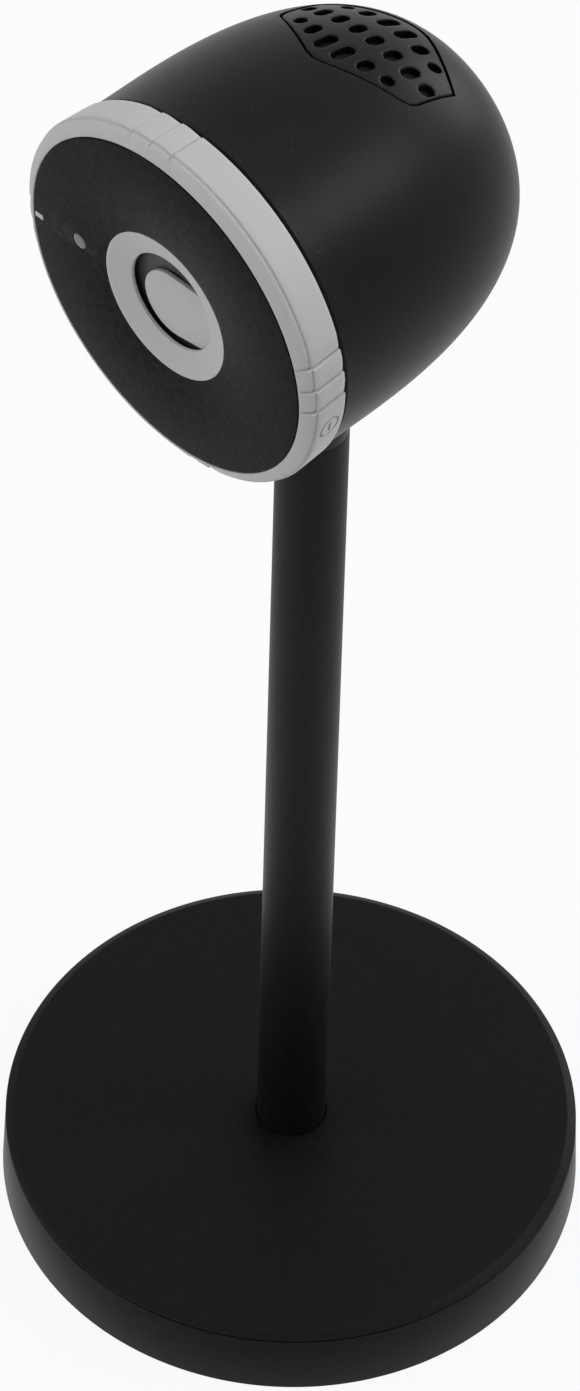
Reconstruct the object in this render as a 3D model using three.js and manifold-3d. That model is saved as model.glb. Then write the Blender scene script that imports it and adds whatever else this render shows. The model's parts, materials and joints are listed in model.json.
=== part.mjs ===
// Webcam with a turning privacy ring on a ball-jointed pole and a weighted round base.
// Millimetres, +Z up, the camera looks along -Y, and the origin is the centre of the base's underside.
import * as THREE from "three";
import { mergeVertices } from "three/addons/utils/BufferGeometryUtils.js";
import Module from "manifold-3d";

const wasm = await Module();
wasm.setup();

// ---- Clearances ----
const SEAT_GAP = 0.1; // a piece pressed or glued into its seat
const FACE_GAP = 0.05; // two faces that rest on each other
const TURN_GAP = 0.1; // a piece that turns on another
const SEAM_GAP = 0.3; // open line between two covers

// ---- Weighted base ----
const BASE_RADIUS = 42;
const BASE_EDGE_RADIUS = 41.6;
const BASE_TOP_RADIUS = 40.3;
const BASE_HEIGHT = 11.7;
const BASE_CHAMFER = 0.8;
const BASE_CAP_THICK = 1.2;
const BASE_SEAM = 0.25;
const BASE_SEAM_DEPTH = 0.5;
const FOOT_RADIUS = 39.6;
const FOOT_THICK = 1.6;
const FOOT_PROUD = 0.12;

// ---- Pole ----
const POLE_RADIUS = 5.03;
const POLE_WALL = 1.1;
const POLE_FOOT_Z = 4.6;
const POLE_TOP_Z = 161.8;
const PLUG_LENGTH = 12;
const SCREW_RADIUS = 2;
const SCREW_LENGTH = 9;
const SCREW_HEAD_RADIUS = 3.6;
const SCREW_HEAD_THICK = 1.3;
const WASHER_RADIUS = 4.2;
const WASHER_THICK = 0.6;

// ---- Ball joint ----
const BALL_Z = 167.44;
const BALL_RADIUS = 3.6;
const LINER_THICK = 0.55;
const SOCKET_RADIUS = 5.03;
const SOCKET_RIM_ANGLE = 70; // degrees down from the ball's top
const SOCKET_SPLIT_DROP = 0.6;
const SOCKET_SPIGOT = 10;
const STUD_NECK_RADIUS = 2.1;
const STUD_FLANGE_RADIUS = 4.95;
const STUD_FLANGE_Z = 6.2;
const STUD_FLANGE_THICK = 1.15;
const THREAD_RADIUS = 3.15;
const THREAD_TOP_Z = 15.4;

// ---- Camera head, measured back from the glass and out from the optical axis ----
const HEAD_LEAN = -4.5; // degrees about the optical axis, as the ball holds it at rest
const AXIS_ABOVE_BALL = 35;
const GLASS_FORWARD = 25.36;
const BODY_RADIUS = 26.9;
const BODY_LENGTH = 53.3;
const BODY_STRAIGHT_END = 11.3;
const DOME_POWER = 2.71;
const BODY_WALL = 1.8;
const BODY_EDGE = 0.3;

// ---- Control ring ----
const RING_RADIUS = 27.64;
const RING_BACK_RADIUS = 27.3;
const RING_FRONT_RADIUS = 25.45;
const RING_CHAMFER = 1.34;
const RING_BACK = 6.85;
const RING_TURN_AT_REST = -4.3; // degrees
const GRIP_DEPTH = 0.35;
const GRIP_STEP = 8; // degrees
const GRIP_GROUPS = 4;
const GRIPS_IN_GROUP = 3;

// ---- Glass, lens trim, status light ----
const GLASS_RADIUS = 25.35;
const GLASS_THICK = 1;
const TRIM_RADIUS = 11.25;
const APERTURE_RADIUS = 7.45;
const APERTURE_DEPTH = 1.25;
const TRIM_FLANGE = 1.3;
const LIGHT_X = -16.5;
const LIGHT_Z = 0.6;
const LIGHT_RADIUS = 1.15;
const MARK_INNER = 23.6;
const MARK_OUTER = 25.1;
const MARK_HEIGHT = 0.9;
const MARK_DEPTH = 0.25;

// ---- Front plate, carrier and shutter ----
const PLATE_FRONT = GLASS_THICK + FACE_GAP;
const PLATE_THICK = 0.5;
const GUIDE_RADIUS = 24.6;
const DECK_FRONT = 2.5;
const DECK_THICK = 0.8;
const CARRIER_WALL = 1.5;
const CARRIER_BACK = 12;
const COLLAR_FRONT = 7.1;
const POST_RADIUS = 1.3;
const POST_CIRCLE = 19.5;
const POST_ANGLES = [120, 180, 240, 300]; // degrees from +X
const POST_SCREW_RADIUS = 0.7;
const SEAL_S = 4.9;
const SEAL_RADIUS = 0.55;
const GEAR_MODULE = 0.6;
const SHUTTER_TEETH = 30;
const RING_TEETH = 75;
const TOOTH_TOP = 0.45;
const TOOTH_ROOT = 0.7;
const TOOTH_HALF = 0.4;
const SHUTTER_FRONT = 1.72;
const SHUTTER_THICK = 0.62;
const BLADE_RADIUS = 5.2;
const BLADE_X = -0.5;
const BLADE_Z = -1.2;
const PIVOT_RADIUS = 0.9;
const PIVOT_GAP = 0.08;

// ---- Lens and boards ----
const BARREL_RADIUS = 4.1;
const BARREL_FRONT = 2.75;
const BARREL_BACK = 12.5;
const BARREL_WALL = 0.95;
const LENS_THICK = 1.7;
const HOLDER_SIDE = 11;
const HOLDER_FRONT = 8.5;
const SENSOR_BOARD_FRONT = 15.1;
const SENSOR_BOARD_THICK = 1;
const SENSOR_BOARD_WIDE = 32;
const SENSOR_BOARD_HIGH = 22;
const SENSOR_BOSS_X = 12;
const SENSOR_BOSS_Z = 8;
const MAIN_BOARD_FRONT = 43;
const MAIN_BOARD_THICK = 1.2;
const MAIN_BOARD_RADIUS = 13;
const MAIN_BOSS_CIRCLE = 10;
const MAIN_BOSS_ANGLES = [30, 150, 270];
const BOSS_RADIUS = 2;
const BOARD_SCREW_RADIUS = 0.9;
const BOARD_SCREW_HEAD = 1.7;
const CHIP_SIDE = 9;
const CHIP_THICK = 1;
const SPREADER_SIDE = 10;
const SPREADER_THICK = 2;
const CABLE_WIDE = 8;
const CABLE_THICK = 0.3;
const CABLE_Z = 7.4;
const PORT_WIDE = 8.94;
const PORT_HIGH = 3.26;
const PORT_BACK = 52.2;

// ---- Tripod insert ----
const INSERT_RADIUS = 4.9;
const INSERT_TOP = -18.8;
const INSERT_BOTTOM = -25.6;
const INSERT_BOSS_RADIUS = 7;
const PAD_RADIUS = 5;

// ---- Grille panel over the microphones: half outline as [out from the centre, back from the glass] ----
const PANEL_OUTLINE = [
  [0, 28.1],
  [1.4, 28.4],
  [3.6, 29.4],
  [6, 30.5],
  [11.2, 32.9],
  [12.1, 33.7],
  [12.4, 34.8],
  [12.25, 41.3],
  [8.7, 43.2],
  [4.8, 45.1],
  [2.2, 46.2],
  [0, 46.5],
];
const PANEL_GROOVE = 0.4;
const PANEL_THICK = 1.1;
const PANEL_SINK = 0.12;
const PANEL_LEDGE = 1.1;
const MESH_THICK = 0.3;
const SLOT_WIDE = 1.8;
// Each row: [out from the centre, front end, back end]
const SLOTS = [
  [1.6, 29.9, 33.7],
  [4.95, 31.3, 34],
  [8.2, 32.5, 34.4],
  [1.6, 36.1, 38.9],
  [4.95, 36.1, 38.9],
  [8.2, 36.1, 38.9],
  [11.1, 36.5, 38.7],
  [1.6, 41.1, 44.7],
  [4.95, 41, 43.6],
  [8.2, 40.9, 42.7],
];
const MIC_BOARD_TOP = 17.8;
const MIC_BOARD_THICK = 0.8;
const MIC_SPACING = 8;

// ---- Facets round a circle ----
const FINE = 72;
const MEDIUM = 48;
const SMALL = 24;
const TINY = 14;
const DOME_STEPS = 8;

const rad = THREE.MathUtils.degToRad;

// ---- Solids ----
function solidOf(geometry) {
  const plain = new THREE.BufferGeometry();
  plain.setAttribute("position", geometry.getAttribute("position"));
  if (geometry.index) plain.setIndex(geometry.index);
  const merged = mergeVertices(plain, 1e-4);
  return new wasm.Manifold(
    new wasm.Mesh({
      numProp: 3,
      vertProperties: new Float32Array(merged.attributes.position.array),
      triVerts: new Uint32Array(merged.index.array),
    }),
  );
}

function geometryOf(solid) {
  const mesh = solid.getMesh();
  const positions = new Float32Array(mesh.numVert * 3);
  for (let i = 0; i < mesh.numVert; i++) {
    positions.set(mesh.vertProperties.subarray(i * mesh.numProp, i * mesh.numProp + 3), i * 3);
  }
  const indexed = new THREE.BufferGeometry();
  indexed.setAttribute("position", new THREE.BufferAttribute(positions, 3));
  indexed.setIndex(new THREE.BufferAttribute(mesh.triVerts, 1));
  const flat = indexed.toNonIndexed();
  flat.computeVertexNormals();
  return flat;
}

function cut(geometry, ...cutters) {
  let solid = solidOf(geometry);
  for (const cutter of cutters) solid = solid.subtract(solidOf(cutter));
  return geometryOf(solid);
}

function join(...geometries) {
  let solid = solidOf(geometries[0]);
  for (const geometry of geometries.slice(1)) solid = solid.add(solidOf(geometry));
  return geometryOf(solid);
}

function common(a, b) {
  return geometryOf(solidOf(a).intersect(solidOf(b)));
}

// A profile of [radius, along] points turned round the Y axis. A profile that stays off the axis closes on itself.
function turned(profile, facets) {
  let area = 0;
  profile.forEach(([r, y], i) => {
    const [nextR, nextY] = profile[(i + 1) % profile.length];
    area += r * nextY - nextR * y;
  });
  const points = area > 0 ? [...profile] : [...profile].reverse();
  const offAxis = points[0][0] > 0 || points[points.length - 1][0] > 0;
  if (offAxis) points.push(points[0]);
  return new THREE.LatheGeometry(
    points.map(([r, y]) => new THREE.Vector2(r, y)),
    facets,
  );
}

// The same, standing up round the Z axis.
function turnedUp(profile, facets) {
  return turned(profile, facets).rotateX(Math.PI / 2);
}

// Pins, bores and tubes along Y at (x, z), and along Z at the origin.
function rodAlongY(radius, front, back, facets, x = 0, z = 0) {
  const rod = turned([[0, front], [radius, front], [radius, back], [0, back]], facets);
  return rod.translate(x, 0, z);
}

function rodUp(radius, bottom, top, facets) {
  return turnedUp([[0, bottom], [radius, bottom], [radius, top], [0, top]], facets);
}

function tubeUp(outer, inner, bottom, top, facets) {
  return turnedUp([[inner, bottom], [outer, bottom], [outer, top], [inner, top]], facets);
}

function block(x, y, z, centreX, centreY, centreZ) {
  return new THREE.BoxGeometry(x, y, z).translate(centreX, centreY, centreZ);
}

// A flat outline in X and Y, extruded up from one height to another.
function prismUp(points, bottom, top) {
  const shape = new THREE.Shape(points.map(([x, y]) => new THREE.Vector2(x, y)));
  const depth = top - bottom;
  return new THREE.ExtrudeGeometry(shape, { depth, bevelEnabled: false }).translate(0, 0, bottom);
}

// A flat outline in X and Z, extruded back along Y.
function prismBack(points, front, back) {
  const mirrored = points.map(([x, z]) => [x, -z]);
  return prismUp(mirrored, front, back).rotateX(-Math.PI / 2);
}

function circlePoint(radius, degrees) {
  return [radius * Math.cos(rad(degrees)), radius * Math.sin(rad(degrees))];
}

function stadium(wide, high, steps) {
  const end = high / 2;
  const points = [];
  for (const side of [1, -1]) {
    for (let i = 0; i <= steps; i++) {
      const angle = -90 + (180 * i) / steps;
      const [x, z] = circlePoint(end, angle);
      points.push([side * (x + wide / 2 - end), side * z]);
    }
  }
  return points;
}

// ---- Materials ----
function paint(color, roughness, metalness = 0) {
  return new THREE.MeshStandardMaterial({ color, roughness, metalness });
}

const matteBlack = () => paint(0x2a2a2c, 0.55);
const softBlack = () => paint(0x1c1c1e, 0.7);
const lightGrey = () => paint(0xb4b5b7, 0.5);
const blackMetal = () => paint(0x26272a, 0.4, 0.6);
const steel = () => paint(0xb9bbbe, 0.3, 1);
const brass = () => paint(0xb89a4c, 0.3, 1);
const rubber = () => paint(0x161616, 0.9);
const board = () => paint(0x1d4a32, 0.5);
const chip = () => paint(0x141416, 0.45);
const clear = () => paint(0xdfe6ea, 0.05);

function addPiece(parent, name, geometry, material) {
  const mesh = new THREE.Mesh(geometry, material);
  mesh.name = name;
  parent.add(mesh);
  return mesh;
}

const group = new THREE.Group();
group.name = "webcam_on_tripod";

// ---- Stand ----
const stand = new THREE.Group();
stand.name = "stand";
group.add(stand);

const capBottom = BASE_HEIGHT - BASE_CAP_THICK + BASE_SEAM / 2;
const weightTop = capBottom - BASE_SEAM;
const neckHole = POLE_RADIUS + SEAT_GAP;
const screwHole = SCREW_RADIUS + SEAT_GAP;
const recessRadius = WASHER_RADIUS + SEAT_GAP;
const screwFloor = POLE_FOOT_Z - FACE_GAP;
const recessTop = screwFloor - 1;
const seatRadius = BASE_EDGE_RADIUS - BASE_SEAM_DEPTH;

addPiece(stand, "foot_pad", rodUp(FOOT_RADIUS, 0, FOOT_THICK, FINE), rubber());

const baseWeight = turnedUp(
  [
    [recessRadius, FOOT_THICK + FACE_GAP],
    [FOOT_RADIUS + SEAT_GAP, FOOT_THICK + FACE_GAP],
    [FOOT_RADIUS + SEAT_GAP, FOOT_PROUD],
    [BASE_RADIUS, FOOT_PROUD],
    [BASE_EDGE_RADIUS, weightTop],
    [seatRadius, weightTop],
    [seatRadius, capBottom - FACE_GAP],
    [neckHole, capBottom - FACE_GAP],
    [neckHole, screwFloor],
    [screwHole, screwFloor],
    [screwHole, recessTop],
    [recessRadius, recessTop],
  ],
  FINE,
);
addPiece(stand, "base_weight", baseWeight, blackMetal());

const baseCap = turnedUp(
  [
    [neckHole, capBottom],
    [BASE_EDGE_RADIUS, capBottom],
    [BASE_EDGE_RADIUS, BASE_HEIGHT - BASE_CHAMFER],
    [BASE_TOP_RADIUS, BASE_HEIGHT],
    [neckHole, BASE_HEIGHT],
  ],
  FINE,
);
addPiece(stand, "base_cap", baseCap, matteBlack());

const poleBore = POLE_RADIUS - POLE_WALL;
const pole = tubeUp(POLE_RADIUS, poleBore, POLE_FOOT_Z, POLE_TOP_Z, MEDIUM);
addPiece(stand, "pole_tube", pole, blackMetal());

const plugRadius = poleBore - SEAT_GAP;
const plugBore = tubeUp(plugRadius, screwHole, POLE_FOOT_Z, POLE_FOOT_Z + PLUG_LENGTH, SMALL);
addPiece(stand, "pole_plug", plugBore, steel());

const washerTop = recessTop - FACE_GAP;
const washer = tubeUp(WASHER_RADIUS, screwHole, washerTop - WASHER_THICK, washerTop, SMALL);
addPiece(stand, "base_washer", washer, steel());

const headTop = washerTop - WASHER_THICK - FACE_GAP;
const baseScrew = turnedUp(
  [
    [0, headTop - SCREW_HEAD_THICK / 2],
    [1.2, headTop - SCREW_HEAD_THICK / 2],
    [1.2, headTop - SCREW_HEAD_THICK + 0.2],
    [SCREW_HEAD_RADIUS, headTop - SCREW_HEAD_THICK + 0.2],
    [SCREW_HEAD_RADIUS, headTop],
    [SCREW_RADIUS, headTop],
    [SCREW_RADIUS, headTop + SCREW_LENGTH],
    [0, headTop + SCREW_LENGTH],
  ],
  SMALL,
);
addPiece(stand, "base_screw", baseScrew, steel());

// ---- Ball joint ----
const joint = new THREE.Group();
joint.name = "ball_joint";
joint.position.z = BALL_Z;
group.add(joint);

// Points on a circle round the ball's centre, from one angle below its top to another.
function ballArc(radius, from, to, steps) {
  const points = [];
  for (let i = 0; i <= steps; i++) {
    const angle = rad(from + ((to - from) * i) / steps);
    points.push([radius * Math.sin(angle), radius * Math.cos(angle)]);
  }
  return points;
}

const linerInner = BALL_RADIUS + TURN_GAP;
const linerOuter = linerInner + LINER_THICK;
const cavity = linerOuter + TURN_GAP;
const rimZ = cavity * Math.cos(rad(SOCKET_RIM_ANGLE));
const splitAngle = THREE.MathUtils.radToDeg(Math.acos(-SOCKET_SPLIT_DROP / cavity));
const capSplit = splitAngle - 1;
const poleTop = POLE_TOP_Z - BALL_Z + FACE_GAP;
const spigotRadius = poleBore - SEAT_GAP;

const socketProfile = [
  [0, poleTop - SOCKET_SPIGOT],
  [spigotRadius, poleTop - SOCKET_SPIGOT],
  [spigotRadius, poleTop],
  [POLE_RADIUS, poleTop],
  [SOCKET_RADIUS, poleTop + 2],
  [SOCKET_RADIUS, cavity * Math.cos(rad(splitAngle))],
  ...ballArc(cavity, splitAngle, 150, 6),
  [0, -cavity * Math.cos(rad(30)) - 0.1],
];
addPiece(joint, "ball_socket", turnedUp(socketProfile, SMALL), blackMetal());

const socketCap = turnedUp(
  [
    ...ballArc(cavity, SOCKET_RIM_ANGLE, capSplit, 3),
    [SOCKET_RADIUS, cavity * Math.cos(rad(capSplit))],
    [SOCKET_RADIUS, rimZ - 0.5],
    [SOCKET_RADIUS - 0.4, rimZ],
  ],
  SMALL,
);
addPiece(joint, "socket_cap", socketCap, blackMetal());

const liner = turnedUp(
  [...ballArc(linerOuter, 74, 116, 5), ...ballArc(linerInner, 116, 74, 5)],
  SMALL,
);
addPiece(joint, "seat_ring", liner, paint(0xd8d8d4, 0.6));
addPiece(joint, "ball", turnedUp(ballArc(BALL_RADIUS, 0, 180, 12), SMALL), steel());

// ---- Camera head ----
const head = new THREE.Group();
head.name = "head";
head.rotation.y = rad(HEAD_LEAN);
joint.add(head);

const footRadius = BALL_RADIUS + FACE_GAP;
const footAngle = THREE.MathUtils.radToDeg(Math.asin(STUD_NECK_RADIUS / footRadius));
const stud = turnedUp(
  [
    ...ballArc(footRadius, 0, footAngle, 4),
    [STUD_NECK_RADIUS, STUD_FLANGE_Z - 0.6],
    [STUD_NECK_RADIUS + 0.6, STUD_FLANGE_Z],
    [STUD_FLANGE_RADIUS, STUD_FLANGE_Z],
    [STUD_FLANGE_RADIUS, STUD_FLANGE_Z + STUD_FLANGE_THICK],
    [THREAD_RADIUS, STUD_FLANGE_Z + STUD_FLANGE_THICK],
    [THREAD_RADIUS, THREAD_TOP_Z - 0.5],
    [THREAD_RADIUS - 0.5, THREAD_TOP_Z],
    [0, THREAD_TOP_Z],
  ],
  SMALL,
);
addPiece(head, "ball_stud", stud, steel());

// Everything below is placed from the glass's centre: X to the side, Y back, Z up.
const camera = new THREE.Group();
camera.name = "camera";
camera.position.set(0, -GLASS_FORWARD, AXIS_ABOVE_BALL);
head.add(camera);

function domeArc(inset, steps) {
  const radius = BODY_RADIUS - inset;
  const length = BODY_LENGTH - BODY_STRAIGHT_END - inset;
  const points = [];
  for (let i = 0; i <= steps; i++) {
    const angle = (Math.PI / 2) * (i / steps);
    const r = i === steps ? 0 : radius * Math.cos(angle) ** (2 / DOME_POWER);
    points.push([r, BODY_STRAIGHT_END + length * Math.sin(angle) ** (2 / DOME_POWER)]);
  }
  return points;
}

// The body's outer form, drawn in by an inset, as a full solid.
function bodySolid(inset) {
  return turned([[0, 0], [BODY_RADIUS - inset, 0], ...domeArc(inset, DOME_STEPS)], FINE);
}

const housingFront = RING_BACK + SEAM_GAP;
const insideRadius = BODY_RADIUS - BODY_WALL;
const threadHole = THREAD_RADIUS + SEAT_GAP;
const insertHole = INSERT_RADIUS + SEAT_GAP;

// Panel outline, moved out by a margin.
function panelOutline(margin) {
  const centreY = 38;
  const right = PANEL_OUTLINE.map(([x, y]) => {
    const long = Math.hypot(x, y - centreY);
    const scale = (long + margin) / long;
    return [x * scale, centreY + (y - centreY) * scale];
  });
  const left = right.slice(1, -1).reverse().map(([x, y]) => [-x, y]);
  return [...right, ...left];
}

const panelTop = BODY_RADIUS + 3;
const grooveCut = cut(
  prismUp(panelOutline(PANEL_GROOVE), 8, panelTop),
  bodySolid(PANEL_SINK + PANEL_THICK + FACE_GAP),
);
const micOpening = prismUp(panelOutline(-PANEL_LEDGE), 8, panelTop);

function boardBoss(angle) {
  const [x, z] = circlePoint(MAIN_BOSS_CIRCLE, angle);
  const front = MAIN_BOARD_FRONT + MAIN_BOARD_THICK + FACE_GAP;
  return rodAlongY(BOSS_RADIUS, front, BODY_LENGTH, TINY, x, z);
}

const insertBoss = rodUp(INSERT_BOSS_RADIUS, -BODY_RADIUS, INSERT_TOP + 0.3, SMALL);
insertBoss.translate(0, GLASS_FORWARD, 0);
const insertBore = rodUp(insertHole, -BODY_RADIUS - 2, INSERT_TOP + 2, SMALL);
insertBore.translate(0, GLASS_FORWARD, 0);
const bosses = common(
  join(insertBoss, ...MAIN_BOSS_ANGLES.map(boardBoss)),
  bodySolid(BODY_WALL / 2),
);
const housingShell = turned(
  [
    ...domeArc(0, DOME_STEPS).reverse(),
    [BODY_RADIUS, housingFront + BODY_EDGE],
    [BODY_RADIUS - BODY_EDGE, housingFront],
    [insideRadius, housingFront],
    ...domeArc(BODY_WALL, DOME_STEPS),
  ],
  FINE,
);
const screwBores = MAIN_BOSS_ANGLES.map((angle) => {
  const [x, z] = circlePoint(MAIN_BOSS_CIRCLE, angle);
  return rodAlongY(BOARD_SCREW_RADIUS + FACE_GAP, MAIN_BOARD_FRONT, MAIN_BOARD_FRONT + 5, TINY, x, z);
});
const portHole = prismBack(
  stadium(PORT_WIDE + 2 * SEAT_GAP, PORT_HIGH + 2 * SEAT_GAP, 6),
  MAIN_BOARD_FRONT + 4,
  BODY_LENGTH + 2,
);
const housing = cut(
  join(housingShell, bosses),
  grooveCut,
  micOpening,
  insertBore,
  portHole,
  ...screwBores,
);
addPiece(camera, "rear_housing", housing, matteBlack());

function slotCutters() {
  const cutters = [];
  for (const [x, front, back] of SLOTS) {
    for (const side of [1, -1]) {
      const outline = stadium(back - front, SLOT_WIDE, 4).map(([along, across]) => [
        side * x - across,
        (front + back) / 2 + along,
      ]);
      cutters.push(prismUp(outline, 8, panelTop));
    }
  }
  return cutters;
}

const panelBlank = common(
  prismUp(panelOutline(0), 8, panelTop),
  cut(bodySolid(PANEL_SINK), bodySolid(PANEL_SINK + PANEL_THICK)),
);
addPiece(camera, "grille_panel", cut(panelBlank, ...slotCutters()), matteBlack());

const meshTop = PANEL_SINK + PANEL_THICK + FACE_GAP;
const dustMesh = common(
  prismUp(panelOutline(-PANEL_LEDGE - SEAT_GAP), 8, panelTop),
  cut(bodySolid(meshTop), bodySolid(meshTop + MESH_THICK)),
);
addPiece(camera, "dust_mesh", dustMesh, softBlack());

const gasketHeight = 8;
const micHoles = [1, -1].map((side) => {
  const hole = rodUp(1, MIC_BOARD_TOP - 3, MIC_BOARD_TOP + gasketHeight, TINY);
  return hole.translate((side * MIC_SPACING) / 2, 37.5, 0);
});
const gasketBlock = common(
  block(15, 7, gasketHeight, 0, 37.5, MIC_BOARD_TOP + FACE_GAP + gasketHeight / 2),
  bodySolid(meshTop + MESH_THICK + FACE_GAP),
);
addPiece(camera, "mic_gasket", cut(gasketBlock, ...micHoles), rubber());
const micBoardZ = MIC_BOARD_TOP - MIC_BOARD_THICK / 2;
addPiece(
  camera,
  "mic_board",
  cut(block(16, 7.4, MIC_BOARD_THICK, 0, 37.5, micBoardZ), ...micHoles),
  board(),
);
const micZ = MIC_BOARD_TOP - MIC_BOARD_THICK - FACE_GAP - 0.5;
addPiece(camera, "mic_left", block(3, 4, 1, -MIC_SPACING / 2, 37.5, micZ), steel());
addPiece(camera, "mic_right", block(3, 4, 1, MIC_SPACING / 2, 37.5, micZ), steel());

// ---- Tripod insert and pad ----
const insert = tubeUp(INSERT_RADIUS, threadHole, INSERT_BOTTOM, INSERT_TOP, SMALL);
addPiece(camera, "tripod_insert", insert.translate(0, GLASS_FORWARD, 0), brass());
const padBottom = STUD_FLANGE_Z + STUD_FLANGE_THICK + FACE_GAP - AXIS_ABOVE_BALL;
const padBlank = tubeUp(PAD_RADIUS, threadHole, padBottom, padBottom + 3, SMALL);
const mountPad = cut(padBlank.translate(0, GLASS_FORWARD, 0), bodySolid(-SEAT_GAP));
addPiece(camera, "mount_pad", mountPad, rubber());

// ---- Carrier behind the shutter ----
const deckBack = DECK_FRONT + DECK_THICK;
const wallInside = GUIDE_RADIUS - CARRIER_WALL;
const collarRadius = insideRadius - SEAT_GAP;
const sealFloor = GUIDE_RADIUS - 2 * SEAL_RADIUS;
if (sealFloor <= wallInside) throw new Error("the seal's groove cuts through the carrier's wall");
const carrierBlank = turned(
  [
    [BARREL_RADIUS + SEAT_GAP, DECK_FRONT],
    [GUIDE_RADIUS, DECK_FRONT],
    [GUIDE_RADIUS, SEAL_S - SEAL_RADIUS - FACE_GAP],
    [sealFloor, SEAL_S - SEAL_RADIUS - FACE_GAP],
    [sealFloor, SEAL_S + SEAL_RADIUS + FACE_GAP],
    [GUIDE_RADIUS, SEAL_S + SEAL_RADIUS + FACE_GAP],
    [GUIDE_RADIUS, COLLAR_FRONT],
    [collarRadius, COLLAR_FRONT],
    [collarRadius, CARRIER_BACK],
    [wallInside, CARRIER_BACK],
    [wallInside, deckBack],
    [BARREL_RADIUS + SEAT_GAP, deckBack],
  ],
  FINE,
);
const pivotX = (GEAR_MODULE * (RING_TEETH - SHUTTER_TEETH)) / 2;
const sensorBosses = [1, -1].map((side) =>
  rodAlongY(
    BOSS_RADIUS,
    deckBack - 0.2,
    SENSOR_BOARD_FRONT - FACE_GAP,
    TINY,
    side * SENSOR_BOSS_X,
    side * SENSOR_BOSS_Z,
  ),
);
const sensorBores = [1, -1].map((side) =>
  rodAlongY(
    BOARD_SCREW_RADIUS + FACE_GAP,
    SENSOR_BOARD_FRONT - 4,
    SENSOR_BOARD_FRONT + 3,
    TINY,
    side * SENSOR_BOSS_X,
    side * SENSOR_BOSS_Z,
  ),
);
const postPlaces = POST_ANGLES.map((angle) => circlePoint(POST_CIRCLE, angle));
const postScrewHoles = postPlaces.map(([x, z]) =>
  rodAlongY(POST_SCREW_RADIUS + FACE_GAP, PLATE_FRONT + PLATE_THICK, deckBack + 1, TINY, x, z),
);
const carrier = cut(
  join(carrierBlank, ...sensorBosses),
  ...sensorBores,
  ...postScrewHoles,
  rodAlongY(LIGHT_RADIUS + 0.15, DECK_FRONT - 1, deckBack + 1, TINY, LIGHT_X, LIGHT_Z),
  rodAlongY(PIVOT_RADIUS + FACE_GAP, DECK_FRONT - 1, deckBack + 1, TINY, pivotX, 0),
);
addPiece(camera, "front_carrier", carrier, softBlack());

const sealProfile = [];
for (let i = 0; i < 8; i++) {
  const [x, y] = circlePoint(SEAL_RADIUS - FACE_GAP, 45 * i);
  sealProfile.push([sealFloor + SEAL_RADIUS + x, SEAL_S + y]);
}
addPiece(camera, "ring_seal", turned(sealProfile, FINE), rubber());

// ---- Front plate, glass and trim ----
const trimHole = TRIM_RADIUS + TRIM_FLANGE + SEAT_GAP;
const plateBack = PLATE_FRONT + PLATE_THICK;
const plateRing = turned(
  [
    [trimHole, PLATE_FRONT],
    [GUIDE_RADIUS, PLATE_FRONT],
    [GUIDE_RADIUS, plateBack],
    [trimHole, plateBack],
  ],
  FINE,
);
const posts = postPlaces.map(([x, z]) =>
  rodAlongY(POST_RADIUS, plateBack - 0.2, DECK_FRONT - FACE_GAP, TINY, x, z),
);
const frontPlate = cut(
  join(plateRing, ...posts),
  ...postScrewHoles,
  rodAlongY(LIGHT_RADIUS + SEAT_GAP, 0, plateBack + 1, TINY, LIGHT_X, LIGHT_Z),
);
addPiece(camera, "front_plate", frontPlate, softBlack());

postPlaces.forEach(([x, z], i) => {
  const screw = turned(
    [
      [0, plateBack + 0.1],
      [POST_SCREW_RADIUS, plateBack + 0.1],
      [POST_SCREW_RADIUS, deckBack + FACE_GAP],
      [1.4, deckBack + FACE_GAP],
      [1.4, deckBack + 0.9],
      [0, deckBack + 0.9],
    ],
    TINY,
  );
  addPiece(camera, "front_screw_" + (i + 1), screw.translate(x, 0, z), steel());
});

const glassHole = TRIM_RADIUS + SEAT_GAP;
const markBlock = (grow) =>
  block(
    MARK_OUTER - MARK_INNER + 2 * grow,
    2 * MARK_DEPTH,
    MARK_HEIGHT + 2 * grow,
    -(MARK_OUTER + MARK_INNER) / 2,
    grow,
    0,
  );
const frontGlass = cut(
  turned(
    [
      [glassHole, 0],
      [GLASS_RADIUS - 0.15, 0],
      [GLASS_RADIUS, 0.15],
      [GLASS_RADIUS, GLASS_THICK],
      [glassHole, GLASS_THICK],
    ],
    FINE,
  ),
  markBlock(FACE_GAP),
  rodAlongY(LIGHT_RADIUS + SEAT_GAP, -1, GLASS_THICK + 1, TINY, LIGHT_X, LIGHT_Z),
);
addPiece(camera, "front_glass", frontGlass, paint(0x1c1c20, 0.08));
const mark = block(
  MARK_OUTER - MARK_INNER,
  MARK_DEPTH - FACE_GAP,
  MARK_HEIGHT,
  -(MARK_OUTER + MARK_INNER) / 2,
  MARK_DEPTH / 2,
  0,
);
addPiece(camera, "index_mark", mark, paint(0xd6d6d6, 0.6));

const trim = turned(
  [
    [APERTURE_RADIUS, APERTURE_DEPTH],
    [APERTURE_RADIUS + 0.25, APERTURE_DEPTH - 0.2],
    [TRIM_RADIUS - 0.5, 0.08],
    [TRIM_RADIUS, 0],
    [TRIM_RADIUS, PLATE_FRONT],
    [TRIM_RADIUS + TRIM_FLANGE, PLATE_FRONT],
    [TRIM_RADIUS + TRIM_FLANGE, plateBack],
    [APERTURE_RADIUS, plateBack],
  ],
  MEDIUM,
);
addPiece(camera, "lens_trim_ring", trim, lightGrey());

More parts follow.
